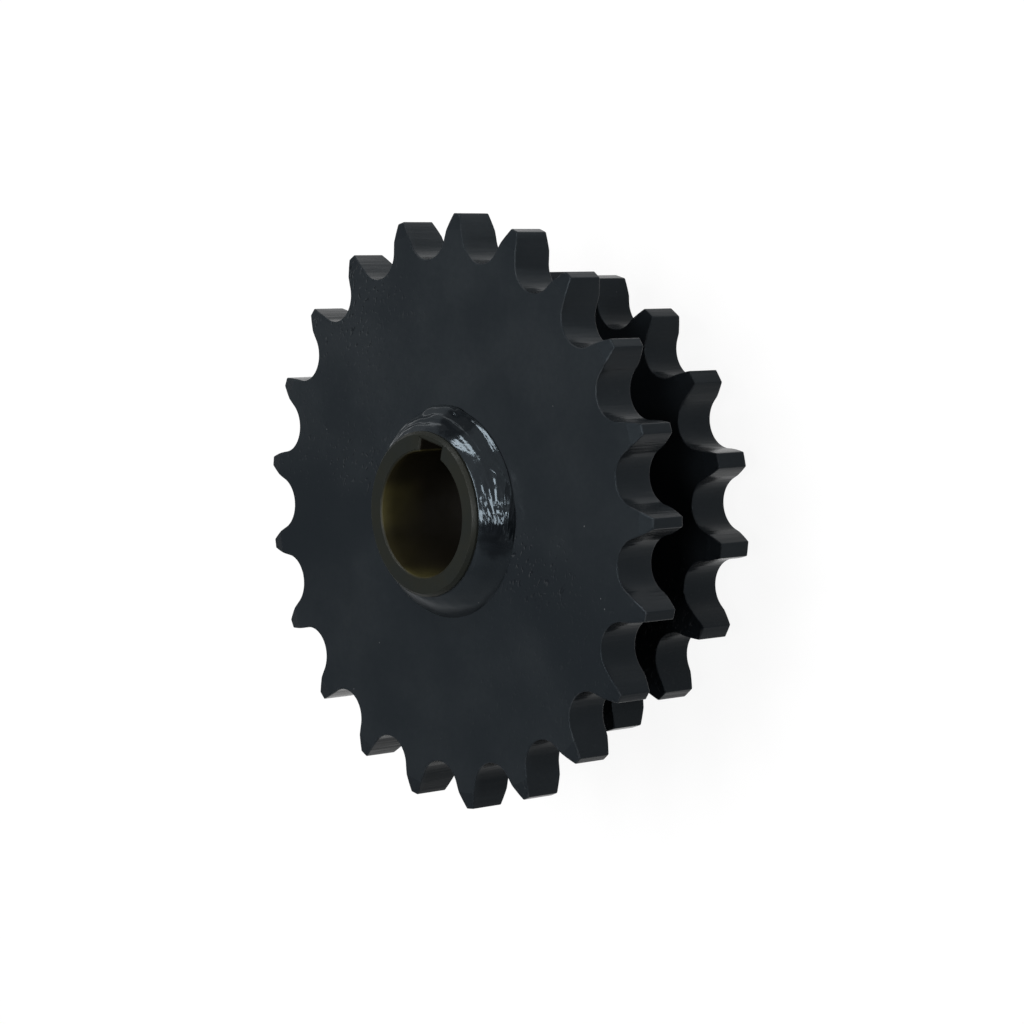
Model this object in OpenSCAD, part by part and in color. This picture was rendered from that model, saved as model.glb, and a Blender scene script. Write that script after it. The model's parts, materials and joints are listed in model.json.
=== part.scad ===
// Double chain sprocket: two toothed plates of different size, seated on a keyed, turned hub and
// fillet-welded to it at both ends. The hub's axis is +Z and the larger plate is on top. The origin
// is on the axis, in the end face of the hub below the smaller plate, and the keyway points to +Y.

/* [Chain] */
// Pitch of the roller chain, the same on both sprockets
chain_pitch = 25.4; // [23:0.1:32]
// Diameter of the chain's rollers
roller_d = 15.88; // [13:0.01:17]
// How much larger than a roller each tooth seat is cut, on the radius
seat_play = 0.5; // [0.1:0.05:0.9]

/* [Teeth] */
// Teeth on the larger, front sprocket
front_teeth = 21; // [17:1:25]
// Teeth on the smaller, rear sprocket
rear_teeth = 17; // [13:1:21]
// Height of the front sprocket's tips above its pitch circle
front_tip_rise = 5; // [3:0.1:6]
// Height of the rear sprocket's tips above its pitch circle
rear_tip_rise = 3.5; // [2.5:0.1:5.5]
// Turn of the front sprocket's first tooth gap from the keyway, clockwise seen from the front
front_turn = -1.6; // [-8:0.1:8]
// Turn of the rear sprocket's first tooth from the keyway, clockwise seen from the front
rear_turn = 0; // [-8:0.1:8]
// Seating angle of an endless rack of teeth, from which each sprocket's own angle follows
rack_seating_angle = 137; // [120:1:140]
// Flank radius as a share of the roller diameter and of the teeth plus two
flank_share = 0.12; // [0.1:0.005:0.2]

/* [Plates] */
// Thickness of each sprocket plate
plate_t = 13.5; // [11:0.5:16]
// Clear width between the two plates
plate_gap = 31; // [20:0.5:50]
// Height of the turned relief on each side of the tooth tips, towards the axis
relief_h = 5; // [2:0.1:7]
// Depth of the turned relief at the tips, along the axis
relief_w = 1.1; // [0.4:0.1:3.5]
// Clearance between a plate's bore and its seat on the hub, on the radius
plate_play = 0.05; // [0:0.01:0.2]

/* [Hub] */
// Bore of the hub, for the shaft
bore_d = 38; // [24:0.5:41]
// Diameter of the hub's two ends, where the plates are seated
hub_d = 50; // [47:0.5:56]
// Length of hub that stands out past each plate
hub_stand = 10; // [9.5:0.5:20]
// Height of the shoulder between the plates above the plate seats
shoulder_h = 5; // [2:0.5:12]
// Bevel on the outer rim of each hub end
hub_bevel = 1; // [0.3:0.1:1.5]
// Bevel on both mouths of the bore
mouth_bevel = 0.5; // [0.2:0.05:0.8]

/* [Keyway] */
// Width of the keyway
key_w = 10; // [6:0.5:12]
// Depth of the keyway, from the wall of the bore
key_depth = 3.3; // [2:0.1:4]
// Radius in the keyway's two inner corners
key_corner_r = 0.4; // [0.1:0.05:0.8]

/* [Welds] */
// Width of each fillet weld on the face of its plate
weld_on_plate = 7; // [4:0.1:10]
// Height of each fillet weld on the hub
weld_on_hub = 8.2; // [4:0.1:8.4]
// How far the middle of a weld bulges past the straight line between its toes
weld_crown = 0.8; // [0.3:0.1:1.5]

/* [Hidden] */
$fn = 128;
steel = [0.18, 0.18, 0.15];
paint = [0.13, 0.14, 0.16];
bead = [0.17, 0.18, 0.2];
// Overlap of a cutting shape past the surface that it cuts
cut = 1;
// How far a seat's circle and a flank's circle run into each other, so that they cross cleanly
crossing = 0.0005;
// How much steeper than the line between seat and flank the hidden side of the cut runs, in degrees
side_lean = 25;
// Facets of the small round corners in the keyway
corner_fn = 24;

seat_r = roller_d / 2 + seat_play;
hub_r = hub_d / 2;
bore_r = bore_d / 2;
shoulder_r = hub_r + shoulder_h;
rear_plate_z = hub_stand;
front_plate_z = rear_plate_z + plate_t + plate_gap;
hub_len = front_plate_z + plate_t + hub_stand;
key_roof = bore_r + key_depth;

function pitch_r(teeth) = chain_pitch / 2 / sin(180 / teeth);
function half_seating(teeth) = (rack_seating_angle - 90 / teeth) / 2;
function flank_r(teeth) = flank_share * roller_d * (teeth + 2);

// A point at a distance from the middle of a seat, along the line where seat and flank meet
function on_seat_line(teeth, distance) =
    distance * [sin(half_seating(teeth)), -cos(half_seating(teeth))];

// The gap between two teeth, on +Y: a round seat for the roller, and the two bulging flanks
module tooth_gap(teeth, tip_rise) {
    flank = flank_r(teeth);
    middle = on_seat_line(teeth, seat_r + flank);
    foot = on_seat_line(teeth, seat_r + cut);
    top = tip_rise + 2 * cut;
    // The side of the cut lies behind the flank, inside the tooth
    side = foot[0] + (top - foot[1]) / tan(half_seating(teeth) - side_lean);
    translate([0, pitch_r(teeth)]) {
        circle(r = seat_r);
        difference() {
            polygon([[0, 0], foot, [side, top], [-side, top], [-foot[0], foot[1]]]);
            for (hand = [-1, 1])
                translate([hand * middle[0], middle[1]])
                    circle(r = flank + crossing);
        }
    }
}

// Toothed outline of a sprocket, with its first gap turned clockwise from +Y by turn
module toothed_disc(teeth, tip_rise, turn) {
    difference() {
        circle(r = pitch_r(teeth) + tip_rise);
        for (gap = [0 : teeth - 1])
            rotate(-turn - gap * 360 / teeth)
                tooth_gap(teeth, tip_rise);
    }
}

// Half section of a turned blank, with the relief on both sides of the rim
module blank_section(tip_r) {
    inner = hub_r + plate_play;
    polygon([
        [inner, 0], [tip_r - relief_h, 0], [tip_r, relief_w],
        [tip_r, plate_t - relief_w], [tip_r - relief_h, plate_t], [inner, plate_t]
    ]);
}

module sprocket(teeth, tip_rise, turn) {
    intersection() {
        rotate_extrude()
            blank_section(pitch_r(teeth) + tip_rise);
        translate([0, 0, -cut])
            linear_extrude(plate_t + 2 * cut)
                toothed_disc(teeth, tip_rise, turn);
    }
}

// Half section of the hub: two bevelled ends, the plate seats and the shoulder between them
module hub_section() {
    polygon([
        [bore_r + mouth_bevel, 0], [hub_r - hub_bevel, 0], [hub_r, hub_bevel],
        [hub_r, rear_plate_z + plate_t], [shoulder_r, rear_plate_z + plate_t],
        [shoulder_r, front_plate_z], [hub_r, front_plate_z],
        [hub_r, hub_len - hub_bevel], [hub_r - hub_bevel, hub_len],
        [bore_r + mouth_bevel, hub_len], [bore_r, hub_len - mouth_bevel],
        [bore_r, mouth_bevel]
    ]);
}

// Outline of the keyway, from inside the bore to its roof
module key_slot() {
    inner = key_w / 2 - key_corner_r;
    translate([-key_w / 2, 0])
        square([key_w, key_roof - key_corner_r]);
    translate([-inner, 0])
        square([2 * inner, key_roof]);
    for (hand = [-1, 1])
        translate([hand * inner, key_roof - key_corner_r])
            circle(r = key_corner_r, $fn = corner_fn);
}

module hub() {
    color(steel)
        difference() {
            rotate_extrude()
                hub_section();
            translate([0, 0, -cut])
                linear_extrude(hub_len + 2 * cut)
                    key_slot();
        }
}

// The larger sprocket, next to the front end of the hub
module front_sprocket() {
    color(paint)
        translate([0, 0, front_plate_z])
            sprocket(front_teeth, front_tip_rise, front_turn);
}

// The smaller sprocket; a tooth, and not a gap, is counted from the keyway
module rear_sprocket() {
    color(paint)
        translate([0, 0, rear_plate_z])
            sprocket(rear_teeth, rear_tip_rise, rear_turn + 180 / rear_teeth);
}

// Half section of a fillet weld in the corner between hub and plate, with a round crown
module weld_section() {
    chord = norm([weld_on_plate, weld_on_hub]);
    crown_r = (chord * chord / 4 + weld_crown * weld_crown) / (2 * weld_crown);
    back = (crown_r - weld_crown) / chord;
    translate([hub_r, 0])
        intersection() {
            square([weld_on_plate + 2 * weld_crown, weld_on_hub + 2 * weld_crown]);
            translate([
                weld_on_plate / 2 - back * weld_on_hub,
                weld_on_hub / 2 - back * weld_on_plate
            ])
                circle(r = crown_r);
        }
}

module weld() {
    color(bead)
        rotate_extrude()
            weld_section();
}

module front_weld() {
    translate([0, 0, front_plate_z + plate_t])
        weld();
}

module rear_weld() {
    translate([0, 0, rear_plate_z])
        mirror([0, 0, 1])
            weld();
}

hub();
front_sprocket();
rear_sprocket();
front_weld();
rear_weld();
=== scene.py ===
"""Dresses a welded double chain sprocket: two toothed plates on a keyed hub, its welds and its paint.

Sizes are in millimetres inside the classes and in metres in Blender. The hub's axis is +Z, the
larger plate is the front one, and the keyway points to +Y.
"""

from __future__ import annotations

import json
import logging
import math
from dataclasses import dataclass, field
from enum import Enum
from typing import Sequence

import bmesh
import bpy
from mathutils import Matrix, Vector


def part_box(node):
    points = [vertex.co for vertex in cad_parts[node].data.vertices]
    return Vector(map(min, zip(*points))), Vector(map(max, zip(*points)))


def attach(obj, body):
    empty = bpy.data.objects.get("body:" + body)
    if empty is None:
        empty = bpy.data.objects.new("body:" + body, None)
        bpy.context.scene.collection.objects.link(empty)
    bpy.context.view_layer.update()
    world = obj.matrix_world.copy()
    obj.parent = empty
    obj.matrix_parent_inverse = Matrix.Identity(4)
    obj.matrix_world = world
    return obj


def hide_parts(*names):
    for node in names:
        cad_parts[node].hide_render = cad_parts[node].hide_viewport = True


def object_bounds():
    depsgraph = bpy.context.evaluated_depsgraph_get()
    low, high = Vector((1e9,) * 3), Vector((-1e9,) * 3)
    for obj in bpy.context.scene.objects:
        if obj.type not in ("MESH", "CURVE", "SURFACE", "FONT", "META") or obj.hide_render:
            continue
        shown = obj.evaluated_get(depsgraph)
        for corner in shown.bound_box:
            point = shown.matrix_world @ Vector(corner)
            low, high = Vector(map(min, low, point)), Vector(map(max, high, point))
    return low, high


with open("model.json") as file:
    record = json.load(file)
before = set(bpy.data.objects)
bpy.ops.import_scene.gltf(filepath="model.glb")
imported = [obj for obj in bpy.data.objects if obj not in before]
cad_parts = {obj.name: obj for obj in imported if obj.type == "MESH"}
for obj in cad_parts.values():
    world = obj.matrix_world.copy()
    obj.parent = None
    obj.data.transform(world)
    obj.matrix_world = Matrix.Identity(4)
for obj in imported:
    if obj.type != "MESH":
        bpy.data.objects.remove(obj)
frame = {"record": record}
CAD_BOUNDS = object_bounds()

MM = 0.001
LOG = logging.getLogger("double_sprocket")
Point = tuple[float, float]
Place = tuple[float, float, float]
Colour = tuple[float, float, float, float]
Socket = bpy.types.NodeSocket


class End(Enum):
    """The two ends of the hub, with the direction along +Z in which each one faces."""

    FRONT = 1
    REAR = -1


class Slot(Enum):
    """Names of the record's material slots."""

    PAINT = "painted_steel"
    WELD = "painted_weld"
    BARE = "oiled_steel"


def node_z(node: str) -> Point:
    """Gives a CAD node's lowest and highest z in millimetres.

    Args:
        node: The node's name.

    Returns:
        The lowest and the highest z.
    """
    low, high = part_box(node)
    return low.z / MM, high.z / MM


def arc(centre: Point, radius: float, start: float, end: float, steps: int) -> list[Point]:
    """Samples an arc of a circle.

    Args:
        centre: Centre of the circle.
        radius: Its radius.
        start: First angle, in radians from +X.
        end: Last angle.
        steps: How many steps the arc is cut into.

    Returns:
        The points from the first angle to the last, both included.
    """
    angles = [start + (end - start) * k / steps for k in range(steps + 1)]
    return [(centre[0] + radius * math.cos(a), centre[1] + radius * math.sin(a)) for a in angles]


def rounded(corners: Sequence[Point], radius: float, steps: int = 3) -> list[Point]:
    """Rounds the inner corners of an open line of points.

    Args:
        corners: The line's corners.
        radius: Radius of each rounding.
        steps: Steps in each rounding.

    Returns:
        The points of the rounded line, with its two ends kept.
    """
    line = [corners[0]]
    for before, corner, after in zip(corners, corners[1:], corners[2:]):
        here = Vector(corner)
        back = (Vector(before) - here).normalized()
        on = (Vector(after) - here).normalized()
        half = back.angle(on) / 2
        reach = radius / math.tan(half)
        centre = here + (back + on).normalized() * (radius / math.sin(half))
        first, last = here + back * reach - centre, here + on * reach - centre
        for k in range(steps + 1):
            line.append(tuple(centre + first.slerp(last, k / steps) * radius))
    line.append(corners[-1])
    return line


@dataclass
class Skin:
    """The points and faces of a mesh under construction, in millimetres."""

    points: list[Vector] = field(default_factory=list)
    faces: list[tuple[int, ...]] = field(default_factory=list)
    smooth: list[bool] = field(default_factory=list)
    wear_and_highlight: list[float] = field(default_factory=list)

    def row(self, points: Sequence[Vector], wear_and_highlight: float = 0.0) -> list[int]:
        """Adds a row of points.

        Args:
            points: The points.
            wear_and_highlight: How much lighter the paint is there, from 0 to 1: edge wear and painted
                highlight.

        Returns:
            Their numbers.
        """
        first = len(self.points)
        self.points += points
        self.wear_and_highlight += [wear_and_highlight] * len(points)
        return list(range(first, len(self.points)))

    def face(self, corners: Sequence[int], smooth: bool = False) -> None:
        """Adds a face, without the corners that it names twice."""
        self.faces.append(tuple(dict.fromkeys(corners)))
        self.smooth.append(smooth)

    def band(
        self, first: Sequence[int], second: Sequence[int], smooth: bool = True, closed: bool = False,
    ) -> None:
        """Joins two rows with faces.

        Args:
            first: One row.
            second: The other row, with as many points.
            smooth: Whether the faces are smooth shaded.
            closed: Whether the rows are closed rings.
        """
        pairs = list(zip(first, second))
        for here, there in zip(pairs, pairs[1:] + pairs[:1] if closed else pairs[1:]):
            self.face((here[0], here[1], there[1], there[0]), smooth)

    def make(self, name: str) -> bpy.types.Object:
        """Makes the mesh object, linked and at the origin.

        Args:
            name: Name of the object.

        Returns:
            The new object.
        """
        mesh = bpy.data.meshes.new(name)
        mesh.from_pydata([tuple(p * MM) for p in self.points], [], self.faces)
        mesh.polygons.foreach_set("use_smooth", self.smooth)
        if any(self.wear_and_highlight):
            mesh.attributes.new("wear_and_highlight", "FLOAT", "POINT").data.foreach_set("value", self.wear_and_highlight)
        mesh.validate()
        piece = bpy.data.objects.new(name, mesh)
        bpy.context.scene.collection.objects.link(piece)
        return piece


def ring_skin(rings: Sequence[Sequence[Vector]]) -> Skin:
    """Skins closed rings of points, the last ring joined to the first, as on a torus.

    Args:
        rings: Rings with equally many points.

    Returns:
        The skin.
    """
    skin = Skin()
    rows = [skin.row(ring) for ring in rings]
    for here, there in zip(rows, rows[1:] + rows[:1]):
        skin.band(here, there, closed=True)
    return skin


def faced_outwards(piece: bpy.types.Object) -> bpy.types.Object:
    """Turns all faces of a closed piece outwards.

    Args:
        piece: The piece.

    Returns:
        The same piece.
    """
    work = bmesh.new()
    work.from_mesh(piece.data)
    bmesh.ops.recalc_face_normals(work, faces=work.faces)
    work.to_mesh(piece.data)
    work.free()
    return piece


def baked(piece: bpy.types.Object) -> bpy.types.Object:
    """Turns a piece's modifiers into its plain mesh.

    Args:
        piece: The object with live modifiers.

    Returns:
        The same object with a plain mesh and no modifier.
    """
    graph = bpy.context.evaluated_depsgraph_get()
    mesh = bpy.data.meshes.new_from_object(piece.evaluated_get(graph), depsgraph=graph)
    mesh.name = piece.name
    piece.modifiers.clear()
    piece.data = mesh
    return faced_outwards(piece)


class Tree:
    """A node tree under construction, for a material or for Geometry Nodes."""

    def __init__(self, tree: bpy.types.NodeTree) -> None:
        """Takes the tree that the nodes go into."""
        self.tree = tree

    def add(self, kind: str, inputs: dict | None = None, **settings: object) -> bpy.types.Node:
        """Adds a node.

        Args:
            kind: The node's type name.
            inputs: Socket name or number to a value, or to a socket that is linked to it.
            settings: Properties of the node.

        Returns:
            The new node.
        """
        node = self.tree.nodes.new(kind)
        for key, value in settings.items():
            setattr(node, key, value)
        for key, value in (inputs or {}).items():
            if isinstance(value, Socket):
                self.tree.links.new(value, node.inputs[key])
            else:
                node.inputs[key].default_value = value
        return node

    def math(self, operation: str, *values: object) -> Socket:
        """Adds a Math node on up to three values or sockets and gives its result."""
        return self.add("ShaderNodeMath", dict(enumerate(values)), operation=operation).outputs[0]

    def product(self, first: object, *others: object) -> Socket:
        """Multiplies values or sockets.

        Args:
            first: The first factor.
            others: The further factors.

        Returns:
            The product.
        """
        for other in others:
            first = self.math("MULTIPLY", first, other)
        return first

    def vector(self, operation: str, first: object, second: object) -> Socket:
        """Adds a Vector Math node on two vectors and gives the new vector."""
        return self.add("ShaderNodeVectorMath", {0: first, 1: second}, operation=operation).outputs[0]

    def split(self, vector: object) -> Sequence[Socket]:
        """Splits a vector into its X, Y and Z."""
        return self.add("ShaderNodeSeparateXYZ", {0: vector}).outputs

    def ramp(self, value: object, low: float, high: float, start: float = 0, end: float = 1) -> Socket:
        """Maps a value from one range to another, smoothly and with its ends held.

        Args:
            value: The socket to map.
            low: Value that gives start.
            high: Value that gives end.
            start: Result at low and below.
            end: Result at high and above.

        Returns:
            The mapped socket.
        """
        sockets = {"Value": value, "From Min": low, "From Max": high, "To Min": start, "To Max": end}
        return self.add("ShaderNodeMapRange", sockets, interpolation_type="SMOOTHSTEP").outputs[0]

    def mix(self, share: object, first: object, second: object) -> Socket:
        """Mixes two colours by a share from 0 to 1 and gives the mixed colour."""
        sockets = {0: share, 6: first, 7: second}
        return self.add("ShaderNodeMix", sockets, data_type="RGBA").outputs[2]

    def profile(self, value: object, points: Sequence[Point]) -> Socket:
        """Reads a smooth curve through points at a value.

        Args:
            value: Where the curve is read.
            points: The curve's points, the first and the last at its two ends.

        Returns:
            How far the curve lies above 0.5.
        """
        curve = self.add("ShaderNodeFloatCurve", {"Value": value})
        line = curve.mapping.curves[0].points
        for _ in points[2:]:
            line.new(0.5, 0.5)
        for knot, place in zip(line, points):
            knot.location = place
        curve.mapping.update()
        return self.math("SUBTRACT", curve.outputs[0], 0.5)

    def noise(self, where: object, scale: float, detail: float = 3, rough: float = 0.5) -> Socket:
        """Adds a noise texture and gives its value, from 0 to 1.

        Args:
            where: The coordinates.
            scale: Repeats in a metre.
            detail: Octaves of finer noise.
            rough: Strength of the finer octaves.

        Returns:
            The noise's value.
        """
        sockets = {"Vector": where, "Scale": scale, "Detail": detail, "Roughness": rough}
        return self.add("ShaderNodeTexNoise", sockets).outputs[0]

    def spots(self, where: object, scale: float, radius: float, soft: float) -> Socket:
        """Adds small round spots, one in each cell of a Voronoi texture.

        Args:
            where: The coordinates.
            scale: Cells in a metre.
            radius: Radius of a spot, in cells.
            soft: Width of its soft edge, in cells.

        Returns:
            1 inside a spot and 0 outside.
        """
        cells = self.add("ShaderNodeTexVoronoi", {"Vector": where, "Scale": scale})
        return self.ramp(cells.outputs[0], radius, radius + soft, 1, 0)


class Material(Tree):
    """A material with one Principled surface, and the coordinates of the piece that wears it."""

    def __init__(self, name: str) -> None:
        """Makes the material, its surface and its coordinates.

        Args:
            name: Name of the material.
        """
        self.material = bpy.data.materials.new(name)
        self.material.use_nodes = True
        super().__init__(self.material.node_tree)
        self.surface = self.tree.nodes["Principled BSDF"]
        coordinates = self.add("ShaderNodeTexCoord").outputs
        self.place, self.facing = coordinates["Object"], coordinates["Normal"]

    def wear(self, sockets: dict) -> None:
        """Sets or links inputs of the surface.

        Args:
            sockets: Name of each input to its value, or to the socket that is linked to it.
        """
        for key, value in sockets.items():
            if isinstance(value, Socket):
                self.tree.links.new(value, self.surface.inputs[key])
            else:
                self.surface.inputs[key].default_value = value

    def bump(self, height: object, depth: float, under: Socket | None = None) -> Socket:
        """Turns a height into a normal.

        Args:
            height: The height, from 0 to 1.
            depth: What a height of 1 stands for, in millimetres.
            under: A normal that the bump is added to.

        Returns:
            The normal.
        """
        sockets = {"Height": height, "Distance": depth * MM, "Strength": 1.0}
        if under is not None:
            sockets["Normal"] = under
        return self.add("ShaderNodeBump", sockets).outputs[0]


@dataclass(frozen=True)
class Paint:
    """Sprayed slate-black paint over scaled plate steel, with dust specks, dents and scuffs, and with painted
    shade and highlights.

    Angles are in degrees from +X, counter-clockwise from the front, and lengths in millimetres. An
    angle sways by a noise, so that no mark ends on a straight line; only sway is in radians.
    """

    name: str
    colour: Colour = (0.0168, 0.0204, 0.0238, 1)
    pale: Colour = (0.0228, 0.027, 0.0306, 1)
    shade: Colour = (0.013, 0.0162, 0.0194, 1)
    shadow: Colour = (0.004, 0.005, 0.0065, 1)
    # Lighter colour on the rounded edges: edge wear and painted highlight
    rub_and_highlight: Colour = (0.05, 0.054, 0.058, 1)
    # Lighter colour for dust specks and for the painted highlights on the dents' rims
    speck_and_highlight: Colour = (0.09, 0.095, 0.10, 1)
    tint: Colour = (0.72, 0.88, 1, 1)
    gloss: float = 0.07
    roughness: float = 0.22
    roughness_play: float = 0.04
    peel: float = 0.004
    scale_marks: float = 0.035
    dent_warp: float = 4
    dent_stretch: Place = (1.45, 0.8, 1)
    dent_rim: Place = (0.5, 0.3, 0)
    dent_crowding: float = 0.04
    cuts: float = 0.2
    cut_stretch: Place = (1, 1, 0.08)
    sway: float = 0.5
    mean_sway: float = 14
    rough_side: float = 152
    # Painted shade by angle round the axis, in place of the turned sides' sheen
    shaded_side: float = 140
    side_shading: float = 0.17
    shaded_sectors: tuple[float, ...] = (198, 345)
    shaded_sector_reach: Point = (4, 27)
    # Levels between which the sides facing the gap get painted shadow
    gap_shade_levels: Point = (22.6, 55)
    satin: float = 0.0
    satin_reach: float = 6
    # Patches of painted shade on the welds
    shade_patches: tuple[Place, ...] = ()
    shade_patch_reach: Point = (6.8, 9.8)
    shade_patch_fray: float = 4

    def off(self, m: Material, angle: Socket, middle: float) -> Socket:
        """Gives how far a swaying angle lies from a direction, in radians."""
        return m.math("SUBTRACT", angle, math.radians(middle + self.mean_sway))

    def marks(self, m: Material, angle: Socket, flat: Socket) -> tuple[Socket, Socket, Socket]:
        """Scatters the small marks of scaled steel under paint, with painted highlights on the dents' rims.

        Args:
            m: The material under construction.
            angle: The swaying angle round the axis.
            flat: 1 on the plates' sides and 0 on walls.

        Returns:
            Dents, light marks (dust specks and the painted highlights on one rim of each dent) and grit.
        """
        # The plates are rough on two opposite sides, and smoother between them
        sides = m.math("COSINE", m.product(self.off(m, angle, self.rough_side), 2))
        patches = m.product(
            m.ramp(m.noise(m.place, 20, detail=2), 0.42, 0.6, 0.15, 1),
            m.ramp(sides, 0, 0.8, 0.1, 1.2),
            m.math("MULTIPLY_ADD", flat, 0.75, 0.25),
        )
        crowding = m.ramp(sides, 0, 0.9, 0, self.dent_crowding)
        warp = m.product(m.noise(m.place, 180, detail=1), self.dent_warp * MM)
        bent = m.vector("ADD", m.place, warp)
        drawn = m.vector("MULTIPLY", bent, self.dent_stretch)
        beside = m.vector("ADD", drawn, tuple(Vector(self.dent_rim) * MM))
        dents, lit = (
            m.ramp(m.math("ADD", m.noise(where, 640, detail=1.5), crowding), 0.65, 0.73)
            for where in (drawn, beside)
        )
        # One rim of each dent gets a painted highlight
        lit = m.product(m.math("MAXIMUM", m.math("SUBTRACT", lit, dents), 0), patches)
        grit = m.product(m.ramp(m.noise(bent, 620, detail=1), 0.74, 0.79), patches)
        specks = m.product(m.spots(bent, 105, 0.013, 0.02), m.ramp(m.noise(m.place, 50), 0.44, 0.52))
        light = m.math("MAXIMUM", specks, m.product(m.math("MAXIMUM", grit, lit), 0.22))
        return m.product(dents, patches), light, grit

    def painted_sheen(self, m: Material, angle: Socket) -> Socket:
        """Gives painted shade by angle round the axis: a little on one side, and more in two narrow sectors,
        in place of the turned sides' sheen.

        Args:
            m: The material under construction.
            angle: The swaying angle round the axis.

        Returns:
            The share of painted shade.
        """
        swing = m.math("COSINE", m.math("SUBTRACT", angle, math.radians(self.shaded_side)))
        shading = m.math("MULTIPLY_ADD", swing, -self.side_shading, self.side_shading)
        for middle in self.shaded_sectors:
            off = m.math("ABSOLUTE", m.math("WRAP", self.off(m, angle, middle), math.pi, -math.pi))
            mark = m.ramp(off, *(math.radians(reach) for reach in self.shaded_sector_reach), 0.8, 0)
            shading = m.math("MAXIMUM", shading, mark)
        return shading

    def shaded_patches(self, m: Material, base: Socket) -> Socket:
        """Darkens the paint in patches of painted shade.

        Args:
            m: The material under construction.
            base: The paint's colour.

        Returns:
            The darkened colour.
        """
        for patch in self.shade_patches:
            sockets = {0: m.place, 1: tuple(Vector(patch) * MM)}
            away = m.add("ShaderNodeVectorMath", sockets, operation="DISTANCE").outputs["Value"]
            away = m.math("MULTIPLY_ADD", m.noise(m.place, 500, detail=2), self.shade_patch_fray * MM, away)
            share = m.ramp(away, *(reach * MM for reach in self.shade_patch_reach), 0.85, 0)
            base = m.mix(share, base, self.shadow)
        return base

    def material(self) -> bpy.types.Material:
        """Builds the material.

        Returns:
            The new material.
        """
        m = Material(self.name)
        clouds = m.noise(m.place, 42, detail=5, rough=0.55)
        grain = m.noise(m.place, 500, rough=0.7)
        upright = m.math("ABSOLUTE", m.split(m.facing)["Z"])
        flat = m.ramp(upright, 0.6, 0.9)
        x, y, z = m.split(m.place)
        angle = m.math("MULTIPLY_ADD", m.noise(m.place, 25, detail=2), self.sway, m.math("ARCTAN2", y, x))
        dents, light, grit = self.marks(m, angle, flat)
        # The turned reliefs of the teeth lean just off the plates' sides, and get a painted shade
        relief_shade = m.product(m.ramp(upright, 0.93, 0.955), m.ramp(upright, 0.98, 0.992, 1, 0))
        # The sides that face the gap between the plates get a painted shadow
        low, high = (level * MM for level in self.gap_shade_levels)
        gap_shade = m.product(m.ramp(z, low - MM, low), m.ramp(z, high, high + MM, 1, 0), flat)
        # Lighter paint on the rounded edges: edge wear and painted highlight
        wear_and_highlight = m.add("ShaderNodeAttribute", attribute_name="wear_and_highlight").outputs["Fac"]
        base = m.mix(m.ramp(clouds, 0.3, 0.7), self.colour, self.pale)
        for share, colour in (
            # Painted sheen: shade by angle round the axis
            (self.painted_sheen(m, angle), self.shade),
            (m.product(relief_shade, 0.45), self.shade),
            (m.product(gap_shade, 0.5), self.shadow),
            (m.product(m.ramp(grain, 0.3, 0.7), 0.22), self.shade),
            # Painted shade in the dents
            (m.product(dents, 0.45), self.shadow),
            (m.product(wear_and_highlight, m.ramp(m.noise(m.place, 110), 0.42, 0.62, 0, 0.5)), self.rub_and_highlight),
            # Dust specks, and painted highlights on the dents' rims
            (light, self.speck_and_highlight),
        ):
            base = m.mix(share, base, colour)
        spread = m.ramp(clouds, 0.3, 0.7, -self.roughness_play / 2, self.roughness_play / 2)
        if self.satin:
            reach = self.satin_reach * MM
            spread = m.math("ADD", spread, m.ramp(y, -reach, reach, self.satin, 0))
        normal = m.bump(m.noise(m.place, 1100, detail=2), self.peel)
        if self.cuts:
            # The cutter's traces run across the thickness of the walls between the teeth
            traces = m.noise(m.vector("MULTIPLY", m.place, self.cut_stretch), 420, detail=2, rough=0.6)
            normal = m.bump(m.product(traces, m.math("SUBTRACT", 1.0, flat)), self.cuts, normal)
        height = m.math("SUBTRACT", m.math("MULTIPLY_ADD", grain, 0.25, grit), dents)
        m.wear({
            "Base Color": self.shaded_patches(m, base),
            "Roughness": m.math("ADD", spread, self.roughness),
            "Specular IOR Level": self.gloss,
            "Specular Tint": self.tint,
            "Normal": m.bump(height, self.scale_marks, normal),
        })
        return m.material


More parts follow.
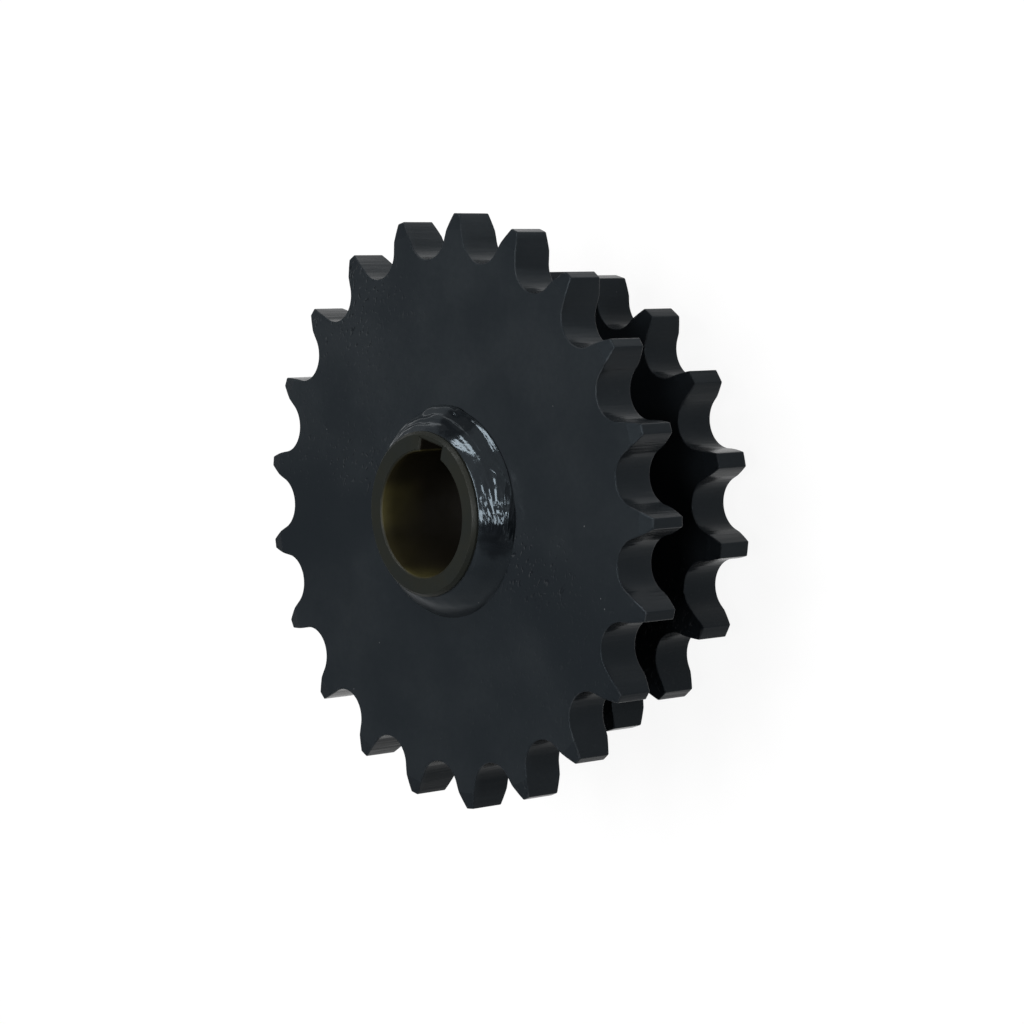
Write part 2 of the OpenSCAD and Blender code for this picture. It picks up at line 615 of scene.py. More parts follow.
@dataclass(frozen=True)
class OiledSteel:
    """Bare turned steel under a film of oil, grey on the ends and yellowish in the bore.

    In the bore the colour is lighter and yellower at both mouths and darker down to fade_depth, and
    darker in the keyway past keyway_fade. Lobes of painted reflection lie round the wall.
    """

    name: str
    grey: Colour = (0.018, 0.0205, 0.0182, 1)
    grey_stain: Colour = (0.0145, 0.016, 0.0122, 1)
    oil_and_glint: Colour = (0.118, 0.104, 0.038, 1)
    oil_dark: Colour = (0.018, 0.0152, 0.0102, 1)
    roughness: float = 0.4
    roughness_play: Point = (-0.04, 0.08)
    metal: float = 0.2
    gloss: float = 0.25
    ring_pitch: float = 0.35
    ring_depth: float = 0.004
    grain_depth: float = 0.012
    bore_reach: float = 23.5
    fade_depth: float = 19
    keyway_fade: Point = (19.1, 19.6)
    glint_lobes: float = 4
    glint_turn: float = -0.6

    def material(self) -> bpy.types.Material:
        """Builds the material.

        Returns:
            The new material.
        """
        m = Material(self.name)
        x, y, z = m.split(m.place)
        radius = m.math("SQRT", m.math("ADD", m.product(x, x), m.product(y, y)))
        upright = m.math("ABSOLUTE", m.split(m.facing)["Z"])
        wall = m.ramp(upright, 0.3, 0.9, 1, 0)
        in_bore = m.product(m.math("LESS_THAN", radius, self.bore_reach * MM), wall)
        film = m.ramp(m.noise(m.place, 90, detail=4, rough=0.6), 0.38, 0.64)
        middle = sum(node_z("hub")) / 2
        off_middle = m.math("ABSOLUTE", m.math("SUBTRACT", z, middle * MM))
        # Lobes of painted reflection round the bore's wall
        glint_lobes = m.math("COSINE", m.math("MULTIPLY_ADD", m.math("ARCTAN2", y, x), self.glint_lobes, self.glint_turn))
        # Lighter and yellower near the mouths and on the painted reflection lobes
        lighter = m.product(
            m.ramp(off_middle, (middle - self.fade_depth) * MM, middle * MM),
            m.ramp(radius, *(reach * MM for reach in self.keyway_fade), 1, 0),
            m.ramp(m.noise(m.place, 70, detail=2), 0.3, 0.6, 0.6, 1),
            m.ramp(glint_lobes, -0.5, 0.9, 0.25, 1),
        )
        ends = m.mix(film, self.grey, self.grey_stain)
        walls = m.mix(lighter, self.oil_dark, self.oil_and_glint)
        least, most = (self.roughness + play for play in self.roughness_play)
        rings = m.math("SINE", m.product(m.math("ADD", radius, z), 2 * math.pi / (self.ring_pitch * MM)))
        normal = m.bump(rings, self.ring_depth / 2)
        m.wear({
            "Base Color": m.mix(in_bore, ends, walls),
            "Metallic": self.metal,
            "Specular IOR Level": self.gloss,
            "Roughness": m.ramp(film, 0, 1, least, most),
            "Normal": m.bump(m.noise(m.place, 420), self.grain_depth, normal),
        })
        return m.material


class GeometryTree(Tree):
    """A Geometry Nodes tree with named inputs, put on a piece as a modifier."""

    def __init__(self, name: str, inputs: dict[str, str]) -> None:
        """Makes an empty tree.

        Args:
            name: Name of the tree.
            inputs: Name of each input to its socket type.
        """
        super().__init__(bpy.data.node_groups.new(name, "GeometryNodeTree"))
        face = self.tree.interface
        face.new_socket("Geometry", in_out="INPUT", socket_type="NodeSocketGeometry")
        face.new_socket("Geometry", in_out="OUTPUT", socket_type="NodeSocketGeometry")
        for label, kind in inputs.items():
            face.new_socket(label, in_out="INPUT", socket_type=kind)
        self.source = self.add("NodeGroupInput").outputs
        self.result = self.add("NodeGroupOutput")

    def finish(self, geometry: Socket) -> None:
        """Ends the tree with real geometry, its material and the output.

        Args:
            geometry: The geometry that the tree has made.
        """
        real = self.add("GeometryNodeRealizeInstances", {0: geometry}).outputs[0]
        dressed = self.add("GeometryNodeSetMaterial", {0: real, "Material": self.source["Material"]})
        self.tree.links.new(dressed.outputs[0], self.result.inputs[0])

    def put_on(self, piece: bpy.types.Object, values: dict[str, object]) -> bpy.types.Object:
        """Puts the tree on a piece with its inputs set, and bakes it.

        Args:
            piece: The piece that gives the geometry.
            values: Name of each input to its value.

        Returns:
            The piece with its new plain mesh.
        """
        modifier = piece.modifiers.new(self.tree.name, "NODES")
        modifier.node_group = self.tree
        for item in self.tree.interface.items_tree:
            if item.in_out == "INPUT" and item.name in values:
                modifier[item.identifier] = values[item.name]
        return baked(piece)


class RingOfTeeth(GeometryTree):
    """Turns one pitch of a toothed plate into the whole plate."""

    def __init__(self) -> None:
        """Builds the tree, with the inputs Teeth, First Gap, Weld Distance and Material."""
        super().__init__("ring_of_teeth", {
            "Teeth": "NodeSocketInt",
            "First Gap": "NodeSocketFloat",
            "Weld Distance": "NodeSocketFloat",
            "Material": "NodeSocketMaterial",
        })
        teeth = self.source["Teeth"]
        places = self.add("GeometryNodeMeshLine", {"Count": teeth, "Offset": (0, 0, 0)}, mode="OFFSET")
        number = self.add("GeometryNodeInputIndex").outputs[0]
        step = self.math("DIVIDE", 2 * math.pi, teeth)
        angle = self.math("MULTIPLY_ADD", number, step, self.source["First Gap"])
        copies = self.add("GeometryNodeInstanceOnPoints", {
            "Points": places.outputs[0],
            "Instance": self.source["Geometry"],
            "Rotation": self.add("ShaderNodeCombineXYZ", {"Z": angle}).outputs[0],
        })
        real = self.add("GeometryNodeRealizeInstances", {0: copies.outputs[0]}).outputs[0]
        sockets = {0: real, "Distance": self.source["Weld Distance"]}
        self.finish(self.add("GeometryNodeMergeByDistance", sockets).outputs[0])


# Height of a bead laid in two runs, over its place across from hub to plate; 0.5 is the smooth bead
RUN_PROFILE = (
    (0, 0.5), (0.1, 0.46), (0.2, 0.42), (0.29, 0.39), (0.38, 0.42), (0.46, 0.36), (0.56, 0.14),
    (0.66, 0.05), (0.76, 0.08), (0.84, 0.24), (0.88, 0.43), (0.92, 0.62), (0.96, 0.81), (1, 0.95),
)


class WeldRipples(GeometryTree):
    """Lays runs, ridges and waves on a smooth weld bead.

    Angles are in degrees clockwise from the keyway, seen from the front. A place across the bead
    goes from 0 at its toe on the hub to 1 at its toe on the plate, and lengths are in millimetres.
    """

    bead_width: float = 11.4
    soft_ends: float = 0.3
    fan_reach: Point = (56, 84)
    fan_middle: float = 0.55
    comb_rate: float = 34
    furrow_share: float = 9
    streak_rate: float = 19
    streak_bend: float = 9

    def __init__(self) -> None:
        """Builds the tree, with the inputs Runs, Ridges, Waves, Lumps, Radius, Seed and Material."""
        amounts = ("Runs", "Ridges", "Waves", "Lumps", "Radius", "Seed")
        inputs = {label: "NodeSocketFloat" for label in amounts}
        super().__init__("weld_ripples", {**inputs, "Material": "NodeSocketMaterial"})
        attribute = self.add("GeometryNodeInputNamedAttribute", {"Name": "across"}, data_type="FLOAT")
        self.across = attribute.outputs[0]
        x, y, _ = self.split(self.add("GeometryNodeInputPosition").outputs[0])
        self.angle = self.math("ARCTAN2", x, y)
        radius = self.math("DIVIDE", self.source["Radius"], MM)
        self.east = self.product(self.math("SINE", self.angle), radius)
        self.north = self.product(self.math("COSINE", self.angle), radius)
        self.drift = self.product(self.bead_noise(12, 9, 1), 0.55)
        height, *others = [*self.runs(), *self.ridges(), *self.waves()]
        for other in others:
            height = self.math("ADD", height, other)
        # The toes keep their place on the hub and on the plate
        hold = self.product(self.ramp(self.across, 0, 0.12), self.ramp(self.across, 1, 0.965))
        normal = self.add("GeometryNodeInputNormal").outputs[0]
        sockets = {0: normal, "Scale": self.product(height, hold)}
        shift = self.add("ShaderNodeVectorMath", sockets, operation="SCALE").outputs[0]
        sockets = {"Geometry": self.source["Geometry"], "Offset": shift}
        self.finish(self.add("GeometryNodeSetPosition", sockets).outputs[0])

    def stretch(self, middle: float, spread: float) -> Socket:
        """Adds a mask with soft ends for a stretch of the bead.

        Args:
            middle: Angle of its middle.
            spread: Its half length, as an angle.

        Returns:
            1 on the stretch and 0 off it.
        """
        off = self.math("WRAP", self.math("SUBTRACT", self.angle, math.radians(middle)), math.pi, -math.pi)
        low, high = (math.radians(spread * (1 + soft)) for soft in (-self.soft_ends, self.soft_ends))
        return self.ramp(self.math("ABSOLUTE", off), low, high, 1, 0)

    def bead_noise(self, length: float, width: float, detail: float, lane: Socket | None = None) -> Socket:
        """Adds noise that is drawn out along the bead, around zero.

        Args:
            length: Length of a lump along the bead.
            width: Its width across the bead.
            detail: Octaves of finer noise.
            lane: Place across the bead, if another one than the real place is used.

        Returns:
            The noise's value.
        """
        lane = self.across if lane is None else lane
        where = self.add("ShaderNodeCombineXYZ", {
            "X": self.math("DIVIDE", self.east, length),
            "Y": self.math("DIVIDE", self.north, length),
            "Z": self.math("MULTIPLY_ADD", lane, self.bead_width / width, self.source["Seed"]),
        })
        return self.math("SUBTRACT", self.noise(where.outputs[0], 1.0, detail), 0.5)

    def layer(self, amount: str, mask: object, shape: object) -> Socket:
        """Scales a shape by a mask and by one of the inputs."""
        return self.product(shape, mask, self.source[amount])

    def bulge(self, middle: float, width: float) -> Socket:
        """Adds a hump that runs along the bead at one place across it."""
        off = self.math("DIVIDE", self.math("SUBTRACT", self.across, middle), width)
        return self.math("EXPONENT", self.product(off, off, -1.0))

    def runs(self) -> list[Socket]:
        """Gives the layers where the bead shows as two runs, to the right of the keyway.

        Returns:
            The four layers.
        """
        wandering = self.math("ADD", self.across, self.product(self.drift, 0.25))
        return [
            self.layer("Runs", self.stretch(26, 30), self.profile(wandering, RUN_PROFILE)),
            self.layer("Runs", self.stretch(28, 40), self.product(self.bead_noise(3, 2, 2), 0.16)),
            self.layer("Runs", self.stretch(66, 18), self.product(self.bulge(0.72, 0.2), 0.9)),
            self.layer("Runs", self.stretch(80, 9), self.product(self.bulge(0.6, 0.35), 0.7)),
        ]

    def ridges(self) -> list[Socket]:
        """Gives the layers of fine ridges and furrows, which run together towards their lower end.

        Returns:
            The two layers.
        """
        fan = self.ramp(self.angle, *(math.radians(angle) for angle in self.fan_reach), 1, 0.5)
        spread = self.math("DIVIDE", self.math("SUBTRACT", self.across, self.fan_middle), fan)
        lane = self.math("ADD", spread, self.product(self.drift, 0.5))
        outwards = self.ramp(self.across, 0.05, 0.5, 0.25, 1.15)
        combs = self.math("SINE", self.product(lane, self.comb_rate))
        ridges = self.product(combs, outwards, self.math("ADD", self.bead_noise(5, 2.5, 1), 0.6))
        furrows = self.product(self.bead_noise(4.5, 1.7, 1.5, lane), outwards, self.furrow_share)
        return [
            self.layer("Ridges", self.stretch(65, 19), ridges),
            self.layer("Ridges", self.stretch(66, 20), furrows),
        ]

    def waves(self) -> list[Socket]:
        """Gives the layers of long waves to the left of the keyway, and of lumps all round.

        Returns:
            The three layers.
        """
        even = self.product(self.across, self.streak_rate)
        turns = self.math("MULTIPLY_ADD", self.bead_noise(11, 6, 1), self.streak_bend, even)
        strength = self.math("MULTIPLY_ADD", self.bead_noise(6, 3, 1), 0.9, 0.35)
        streaks = self.product(self.math("SINE", turns), strength)
        return [
            self.layer("Waves", self.stretch(-30, 30), streaks),
            self.layer("Waves", self.stretch(-12, 15), self.product(self.bulge(0.88, 0.3), 2.4)),
            self.layer("Lumps", 1.0, self.bead_noise(8, 8, 1)),
        ]


@dataclass(frozen=True)
class Chain:
    """The roller chain that both plates run with, and the rules of its toothing."""

    pitch: float = 25.4
    roller: float = 15.88
    seat_play: float = 0.5
    rack_seating_angle: float = 137
    flank_share: float = 0.12


@dataclass
class ToothedPlate:
    """One toothed plate: a pitch of its outline with soft edges, repeated round the axis.

    Its first gap is turned clockwise from the keyway, seen from the front, by turn in degrees.
    """

    node: str
    name: str
    teeth: int
    tip_rise: float
    turn: float
    chain: Chain
    bore: float = 25.05
    relief_height: float = 5
    relief_width: float = 1.1
    edge: float = 0.35
    corner: float = 0.45
    support: float = 0.2
    weld_distance: float = 0.002
    seat_steps: int = 14
    flank_steps: int = 4
    corner_steps: int = 4
    land_steps: int = 3
    edge_steps: int = 4
    bore_steps: int = 8

    def __post_init__(self) -> None:
        """Works out the circles of the toothing."""
        self.pitch_r = self.chain.pitch / 2 / math.sin(math.pi / self.teeth)
        self.tip_r = self.pitch_r + self.tip_rise
        self.crease_r = self.tip_r - self.relief_height
        self.seat_r = self.chain.roller / 2 + self.chain.seat_play
        self.flank_r = self.chain.flank_share * self.chain.roller * (self.teeth + 2)
        self.half_seating = math.radians(self.chain.rack_seating_angle - 90 / self.teeth) / 2
        self.tooth_angle = math.pi / 2 - math.pi / self.teeth
        self.low, self.high = node_z(self.node)

    def half_outline(self, inset: float) -> list[Point]:
        """Gives the outline from the bottom of a gap on +Y to the middle of the next tooth.

        Args:
            inset: How far the line lies inside the real outline.

        Returns:
            The points, clockwise seen from the front.
        """
        turn = self.half_seating
        reach = self.seat_r + self.flank_r
        flank = Vector((reach * math.sin(turn), self.pitch_r - reach * math.cos(turn)))
        ahead = math.atan2(flank.y, flank.x)

        def angle_at(near: float, far: float) -> float:
            """Gives the angle round the flank's centre of a point this near it and this far from the axis."""
            away = flank.length
            return ahead + math.acos((far * far - away * away - near * near) / (2 * away * near))

        # The corner's rounding touches the flank and the tip circle from inside
        flank_end = angle_at(self.flank_r - self.corner, self.tip_r - self.corner)
        middle = flank + Vector((math.cos(flank_end), math.sin(flank_end))) * (self.flank_r - self.corner)
        land_start = math.atan2(middle.y, middle.x)
        bulge_r = self.flank_r - inset
        crease = angle_at(bulge_r, self.crease_r)
        line = arc((0, self.pitch_r), self.seat_r + inset, -math.pi / 2, turn - math.pi / 2, self.seat_steps)
        line += arc(tuple(flank), bulge_r, math.pi / 2 + turn, crease, self.flank_steps)[1:]
        line += arc(tuple(flank), bulge_r, crease, flank_end, self.flank_steps)[1:]
        line += arc(tuple(middle), self.corner - inset, flank_end, land_start, self.corner_steps)[1:]
        line += arc((0, 0), self.tip_r - inset, land_start, self.tooth_angle, self.land_steps)[1:]
        return line

    def outline(self, inset: float) -> list[Point]:
        """Gives one whole pitch of the outline, from tooth to tooth across the gap on +Y."""
        half = self.half_outline(inset)
        return [(-x, y) for x, y in reversed(half[1:])] + half

    def on_side(self, end: End, flat: Sequence[Point], sunk: float = 0) -> list[Vector]:
        """Lays flat points on one turned side, which falls away past the crease.

        Args:
            end: The side.
            flat: The points, seen along the axis.
            sunk: How far they lie below the side's surface.

        Returns:
            The points in space.
        """
        level = self.high if end is End.FRONT else self.low
        slope = self.relief_width / self.relief_height
        drops = [sunk + max(0.0, math.hypot(x, y) - self.crease_r) * slope for x, y in flat]
        return [Vector((x, y, level - end.value * drop)) for (x, y), drop in zip(flat, drops)]

    def turned_side(self, skin: Skin, end: End) -> tuple[list[int], list[int]]:
        """Adds one side of one pitch, with its soft edge.

        Args:
            skin: The skin that it is added to.
            end: The side.

        Returns:
            The rows that end it on the rim's wall and in the bore.
        """
        flat = self.outline(self.edge + self.support)
        rim = skin.row(self.on_side(end, flat))
        half = len(flat) // 2
        # How many points from the gap's bottom the outline crosses the crease
        cross = self.seat_steps + self.flank_steps
        x, y = flat[half + cross]
        crease = arc((0, 0), self.crease_r, self.tooth_angle, math.atan2(y, x), half - cross)[:-1]
        right = skin.row(self.on_side(end, crease)) + [rim[half + cross]]
        left = skin.row(self.on_side(end, [(-x, y) for x, y in crease])) + [rim[half - cross]]
        skin.band(right, rim[:half + cross - 1:-1], smooth=False)
        skin.band(left, rim[:half - cross + 1], smooth=False)
        spread = math.pi / self.teeth
        bore_flat = arc((0, 0), self.bore, math.pi / 2 - spread, math.pi / 2 + spread, self.bore_steps)
        bore = skin.row(self.on_side(end, bore_flat))
        skin.face(rim[half - cross:half + cross + 1] + right[::-1][1:] + bore + left[:-1])
        wall = rim
        for k in range(self.edge_steps + 2):
            turn = math.pi / 2 * min(k / self.edge_steps, 1)
            inset, sunk = self.edge * (1 - math.sin(turn)), self.edge * (1 - math.cos(turn))
            if k > self.edge_steps:
                sunk += self.support
            # The rounded edge carries the share of lighter paint: edge wear and painted highlight
            below = skin.row(self.on_side(end, self.outline(inset), sunk), max(0.0, math.sin(2 * turn)))
            skin.band(wall, below)
            wall = below
        return wall, bore

    def sector(self) -> bpy.types.Object:
        """Builds one pitch of the plate, open at its two cuts.

        Returns:
            The new object.
        """
        skin = Skin()
        for front, rear in zip(*(self.turned_side(skin, end) for end in End)):
            skin.band(front, rear)
        return skin.make(self.name)

    def build(self, tree: GeometryTree, material: bpy.types.Material) -> bpy.types.Object:
        """Builds the whole plate and puts it in the CAD plate's place.

        Args:
            tree: The tree that repeats the pitch.
            material: The plate's paint.

        Returns:
            The finished plate.
        """
        plate = tree.put_on(self.sector(), {
            "Teeth": self.teeth,
            "First Gap": -math.radians(self.turn),
            "Weld Distance": self.weld_distance * MM,
            "Material": material,
        })
        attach(plate, "root")
        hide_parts(self.node)
        return plate


@dataclass
class TurnedHub:
    """The keyed hub: a turned body with soft edges and a bevelled keyway."""

    name: str = "turned_hub"
    node: str = "hub"
    end_r: float = 25
    shoulder_r: float = 30
    bevel: float = 1
    mouth: float = 0.5
    key_half: float = 5
    key_depth: float = 3.3
    key_corner: float = 0.4
    key_lead: float = 0.6
    end_depth: float = 3
    seat_lead: float = 1
    edge: float = 0.12
    support: float = 0.25
    mouth_corner: float = 0.18
    flat_above: float = 0.9999
    wall_steps: int = 4
    corner_steps: int = 4
    roof_steps: int = 6
    bore_steps: int = 168

    def __post_init__(self) -> None:
        """Takes the bore from the record and the lengths from the frame."""
        mounts = {m["name"]: m for m in frame["record"]["mounts"]}
        self.bore_r = mounts["bore"]["dims"]["r_mm"]
        self.low, self.high = node_z(self.node)
        self.rear_seat = node_z("rear_sprocket")[1]
        self.front_seat = node_z("front_sprocket")[0]

    def bore_loop(self, wide: float) -> list[Point]:
        """Gives the section of bore and keyway, cut wider by a bevel.

        Args:
            wide: How much wider than the bore the section is.

        Returns:
            The points, clockwise from the keyway's left mouth corner.
        """
        radius, half = self.bore_r + wide, self.key_half + wide
        inner, top = half - self.key_corner, self.bore_r + self.key_depth + wide - self.key_corner
        mouth = math.sqrt(radius * radius - half * half)
        foot = mouth + self.key_lead
        lead = math.atan2(mouth, half) - self.key_lead / radius
        beside = (radius * math.cos(lead), radius * math.sin(lead))
        right = rounded([beside, (half, mouth), (half, foot)], self.mouth_corner, self.corner_steps)
        right += [(half, foot + (top - foot) * k / self.wall_steps) for k in range(1, self.wall_steps)]
        right += arc((inner, top), self.key_corner, 0, math.pi / 2, self.corner_steps)
        across = [-inner + 2 * inner * k / self.roof_steps for k in range(1, self.roof_steps)]
        roof = [(x, top + self.key_corner) for x in across]
        wall = arc((0, 0), radius, lead, -math.pi - lead, self.bore_steps)[1:-1]
        return [(-x, y) for x, y in right] + roof + right[::-1] + wall

    def circle(self, radius: float) -> list[Point]:
        """Gives a circle whose points lie beside those of the bore's loop."""
        return [tuple(Vector(point).normalized() * radius) for point in self.bore_loop(0)]

    def end_rings(self, end: End) -> list[list[Vector]]:
        """Gives the rings of one end, from inside the bore over the face to the hub's side.

        Args:
            end: Which end.

        Returns:
            The rings.
        """
        face = self.high if end is End.FRONT else self.low
        rim_r = self.end_r - self.bevel
        inner = rounded([
            (0, self.end_depth), (0, self.mouth), (self.mouth, 0), (self.mouth + self.support, 0),
        ], self.edge)
        outer = rounded([
            (rim_r - self.support, 0), (rim_r, 0), (self.end_r, self.bevel), (self.end_r, self.end_depth),
        ], self.edge)
        loops = [(self.bore_loop(wide), depth) for wide, depth in inner]
        loops += [(self.circle(radius), depth) for radius, depth in outer]
        return [[Vector((x, y, face - end.value * depth)) for x, y in loop] for loop, depth in loops]

    def build(self, material: bpy.types.Material) -> bpy.types.Object:
        """Builds the hub and puts it in the CAD hub's place.

        Args:
            material: The bare steel.

        Returns:
            The finished hub.
        """
        seats = [
            (self.end_r, self.front_seat + self.seat_lead),
            (self.end_r, self.front_seat),
            (self.shoulder_r, self.front_seat),
            (self.shoulder_r, self.rear_seat),
            (self.end_r, self.rear_seat),
            (self.end_r, self.rear_seat - self.seat_lead),
        ]
        middle = [[Vector((x, y, z)) for x, y in self.circle(r)] for r, z in rounded(seats, self.edge)]
        rings = self.end_rings(End.FRONT) + middle + self.end_rings(End.REAR)[::-1]
        hub = faced_outwards(ring_skin(rings).make(self.name))
        for face in hub.data.polygons:
            face.use_smooth = abs(face.normal.z) < self.flat_above
        hub.data.materials.append(material)
        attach(hub, "root")
        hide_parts(self.node)
        return hub


@dataclass
class FilletWeld:
    """A fillet weld round the hub, laid in several runs that show under the paint.

    Its corner is sunk a little into the hub and the plate, so that no gap shows at its toes.
    """

    end: End
    hub_r: float = 25
    on_plate: float = 7
    on_hub: float = 8.2
    crown: float = 0.8
    sunk: float = 0.06
    runs: float = 0.9
    ridges: float = 0.06
    waves: float = 0.4
    lumps: float = 0.4
    seeds: tuple[float, float] = (3, 11)
    around: int = 900
    across: int = 56

    def section(self) -> list[Place]:
        """Gives the weld's section as radius, height on the plate, and place across the bead.

        Returns:
            Points from the hub's toe over the crown to the plate's toe, then the hidden corner.
        """
        chord = math.hypot(self.on_plate, self.on_hub)
        crown_r = (chord * chord / 4 + self.crown * self.crown) / (2 * self.crown)
        back = (crown_r - self.crown) / chord
        x = self.hub_r + self.on_plate / 2 - back * self.on_hub
        y = self.on_hub / 2 - back * self.on_plate
        start = math.atan2(self.on_hub - y, self.hub_r - x)
        end = math.atan2(-y, self.hub_r + self.on_plate - x)
        line = arc((x, y), crown_r, start, end, self.across)
        bead = [(r, h, k / self.across) for k, (r, h) in enumerate(line)]
        first = (self.hub_r - self.sunk, self.on_hub, 0.0)
        last = (self.hub_r + self.on_plate, -self.sunk, 1.0)
        return [first] + bead + [last, (self.hub_r - self.sunk, -self.sunk, 0.0)]

    def build(self, tree: GeometryTree, material: bpy.types.Material) -> bpy.types.Object:
        """Builds the weld and puts it in the CAD weld's place.

        Args:
            tree: The tree that lays the ripples.
            material: The weld's paint.

        Returns:
            The finished weld.
        """
        side = self.end.name.lower()
        low, high = node_z(f"{side}_sprocket")
        plate_z = high if self.end is End.FRONT else low
        rings, lanes = [], []
        for radius, height, lane in self.section():
            z = plate_z + self.end.value * height
            ring = arc((0, 0), radius, math.pi, -math.pi, self.around)[:-1]
            rings.append([Vector((x, y, z)) for x, y in ring])
            lanes += [lane] * self.around
        weld = faced_outwards(ring_skin(rings).make(f"{side}_weld_bead"))
        lane_data = weld.data.attributes.new("across", "FLOAT", "POINT")
        lane_data.data.foreach_set("value", lanes)
        tree.put_on(weld, {
            "Runs": self.runs * MM,
            "Ridges": self.ridges * MM,
            "Waves": self.waves * MM,
            "Lumps": self.lumps * MM,
            "Radius": (self.hub_r + self.on_plate / 2) * MM,
            "Seed": float(self.seeds[0] if self.end is End.FRONT else self.seeds[1]),
            "Material": material,
        })
        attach(weld, "root")
        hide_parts(f"{side}_weld")
        return weld


@dataclass(frozen=True)
class Lamp:
    """A soft rectangular lamp, its direction seen from the part and its power in watts."""

    name: str
    toward: Place
    size: Point
    power: float
    away: float = 1600
    aim_height: float = 40

    def place(self) -> Matrix:
        """Gives the lamp's place, its width level and its height as near to +Z as it can be.

        Returns:
            The place, with -Z towards the part.
        """
        spot = Vector(self.toward).normalized()
        across = Vector((0, 0, 1)).cross(spot).normalized()
        axes = Matrix((across, spot.cross(across), spot)).transposed().to_4x4()
        return Matrix.Translation((spot * self.away + Vector((0, 0, self.aim_height))) * MM) @ axes


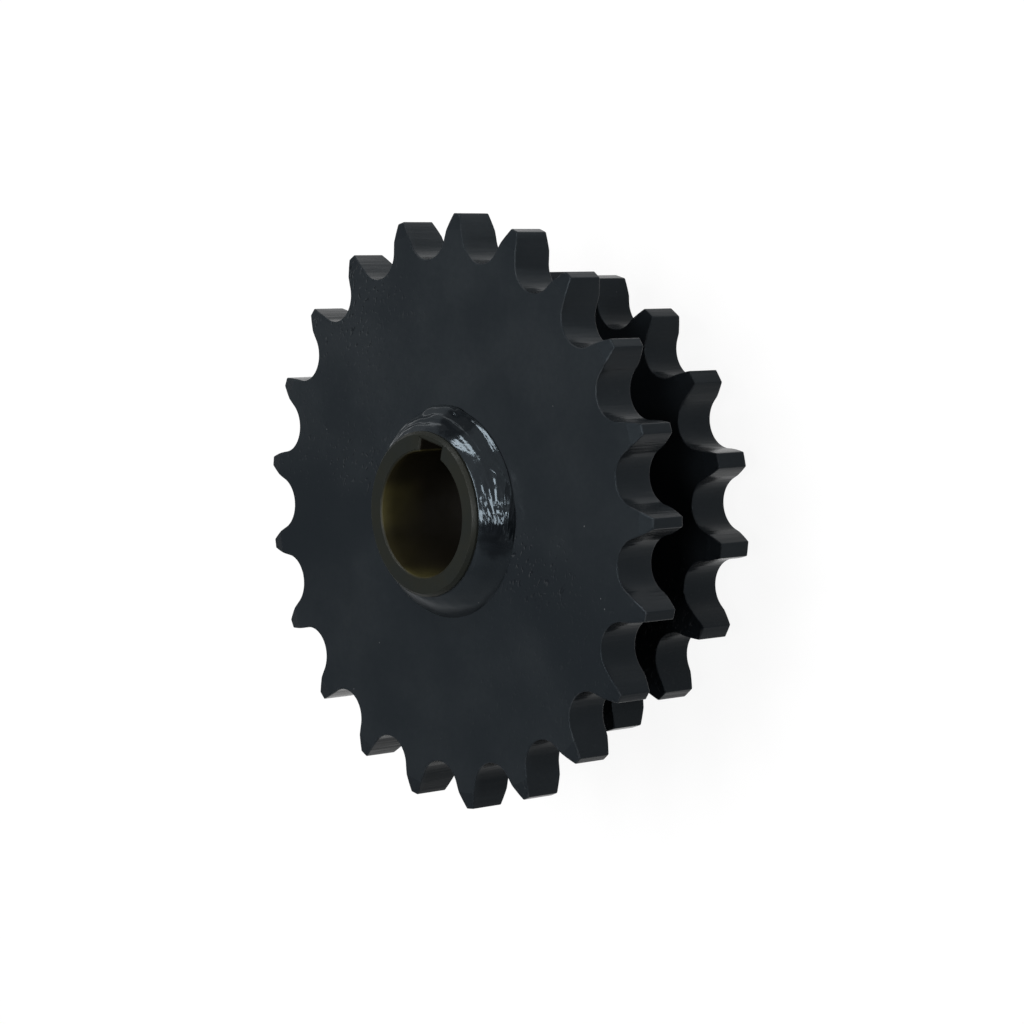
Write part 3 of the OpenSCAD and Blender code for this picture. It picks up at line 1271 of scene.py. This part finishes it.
@dataclass
class Studio:
    """A pale floor and cove, soft lamps and the camera."""

    camera_at: Place = (672.917, 236.538, 651.985)
    camera_right: Place = (0.636980, 0.142447, -0.757605)
    camera_up: Place = (-0.284606, 0.956803, -0.059391)
    camera_back: Place = (0.716418, 0.253450, 0.650005)
    lens: float = 107.07
    sensor: float = 36
    clip: Point = (10, 50000)
    sky: float = 0.05
    backdrop: Colour = (0.1, 0.1, 0.1, 1)
    glow: float = 0.92
    wall_glow: float = 0.18
    fade: Point = (20, 300)
    floor_side: float = 12000
    cove_r: float = 4500
    cove_height: float = 1700
    cove_steps: int = 96
    panel_at: Place = (0, 240, 2)
    panel_size: Point = (500, 240)
    panel_power: float = 0.33
    lamps: tuple[Lamp, ...] = (
        Lamp("axis_lamp", (-0.06, 0.14, 0.98), (800, 800), 20.8),
        Lamp("right_lamp", (0.49, 0.16, 0.86), (500, 300), 5),
        Lamp("low_lamp", (0.93, 0.3, 0.1), (700, 160), 5),
        Lamp("top_lamp", (-0.21, 0.76, 0.61), (850, 160), 5),
    )

    def backdrop_material(self) -> bpy.types.Material:
        """Builds the pale backdrop, lifted to white for the camera and for reflections.

        Returns:
            The new material.
        """
        m = Material("pale_backdrop")
        m.wear({"Base Color": self.backdrop, "Roughness": 0.9, "Specular IOR Level": 0.0})
        rays = m.add("ShaderNodeLightPath").outputs
        seen = m.math("MAXIMUM", rays["Is Camera Ray"], rays["Is Glossy Ray"])
        seen = m.math("MAXIMUM", seen, rays["Is Transmission Ray"])
        # The floor glows fully, and the cove less and less with its height
        low, high = (level * MM for level in self.fade)
        fade = m.ramp(m.split(m.place)["Z"], low, high, 1, self.wall_glow)
        glow = m.add("ShaderNodeEmission", {"Strength": m.product(seen, m.product(fade, self.glow))})
        both = m.add("ShaderNodeAddShader", {0: m.surface.outputs[0], 1: glow.outputs[0]})
        m.tree.links.new(both.outputs[0], m.tree.nodes["Material Output"].inputs["Surface"])
        return m.material

    def build_floor(self) -> None:
        """Lays the floor under the part and stands the cove round it."""
        material = self.backdrop_material()
        half = self.floor_side / 2
        floor_z = CAD_BOUNDS[0][2]
        corners = ((-half, -half), (half, -half), (half, half), (-half, half))
        ground, wall = Skin(), Skin()
        ground.face(ground.row([Vector((x, y, floor_z)) for x, y in corners]))
        ring = arc((0, 0), self.cove_r, 0, 2 * math.pi, self.cove_steps)[:-1]
        rows = [wall.row([Vector((x, y, z)) for x, y in ring]) for z in (self.cove_height, floor_z)]
        wall.band(rows[0], rows[1], closed=True)
        for stage in (ground.make("floor"), wall.make("cove")):
            stage.data.materials.append(material)

    def hang(self, name: str, size: Point, power: float, place: Matrix) -> bpy.types.Object:
        """Hangs a soft rectangular lamp.

        Args:
            name: The lamp's name.
            size: Its width and height.
            power: Its power in watts.
            place: Its place; it shines along its own -Z.

        Returns:
            The lamp.
        """
        light = bpy.data.lights.new(name, "AREA")
        light.shape = "RECTANGLE"
        light.size, light.size_y = (side * MM for side in size)
        light.energy = power
        thing = bpy.data.objects.new(name, light)
        thing.matrix_world = place
        bpy.context.scene.collection.objects.link(thing)
        return thing

    def build_lamps(self) -> None:
        """Lays a light panel on the floor, which the tooth gaps mirror, and hangs the lamps."""
        upwards = Matrix.Translation(Vector(self.panel_at) * MM) @ Matrix.Rotation(math.pi, 4, "X")
        panel = self.hang("floor_panel", self.panel_size, self.panel_power, upwards)
        panel.visible_camera = False
        for lamp in self.lamps:
            self.hang(lamp.name, lamp.size, lamp.power, lamp.place())

    def build_sky(self) -> None:
        """Sets the faint even light from all round."""
        world = bpy.data.worlds.new("sky")
        world.use_nodes = True
        background = world.node_tree.nodes["Background"].inputs
        background["Color"].default_value = (1, 1, 1, 1)
        background["Strength"].default_value = self.sky
        bpy.context.scene.world = world

    def build_camera(self) -> None:
        """Sets the camera where the photo was taken from."""
        camera = bpy.data.objects.new("camera", bpy.data.cameras.new("camera"))
        camera.data.lens, camera.data.sensor_width = self.lens, self.sensor
        camera.data.clip_start, camera.data.clip_end = (away * MM for away in self.clip)
        axes = Matrix((self.camera_right, self.camera_up, self.camera_back)).transposed().to_4x4()
        camera.matrix_world = Matrix.Translation(Vector(self.camera_at) * MM) @ axes
        bpy.context.scene.collection.objects.link(camera)
        bpy.context.scene.camera = camera

    def build(self) -> None:
        """Sets the floor, the lamps, the sky and the camera."""
        self.build_floor()
        self.build_lamps()
        self.build_sky()
        self.build_camera()
        bpy.context.scene.view_settings.view_transform = "Standard"


def main() -> None:
    """Builds every piece in order and reports it."""
    logging.basicConfig(level=logging.INFO, format="%(name)s: %(message)s")
    paint = Paint("slate_paint").material()
    # A thick and glossy coat on the welds, with painted shade in two dark patches
    weld_paint = Paint(
        "weld_paint", gloss=0.45, roughness=0.12, roughness_play=0.05, scale_marks=0.015, satin=0.2, cuts=0,
        shade_patches=((28.6, 1.2, 72), (3.5, 29.6, 71.5)),
    ).material()
    steel = OiledSteel("oiled_steel").material()
    chain, teeth, ripples = Chain(), RingOfTeeth(), WeldRipples()
    front = ToothedPlate(
        "front_sprocket", "front_toothed_plate", teeth=21, tip_rise=5, turn=-1.6, chain=chain,
    )
    # A tooth of the rear plate, and not a gap, points where the keyway does
    rear = ToothedPlate(
        "rear_sprocket", "rear_toothed_plate", teeth=17, tip_rise=3.5, turn=180 / 17, chain=chain,
    )
    pieces = [front.build(teeth, paint), rear.build(teeth, paint), TurnedHub().build(steel)]
    pieces += [FilletWeld(end).build(ripples, weld_paint) for end in End]
    for piece in pieces:
        LOG.info("%s has %d faces", piece.name, len(piece.data.polygons))
    Studio().build()


if __name__ == "__main__":
    main()
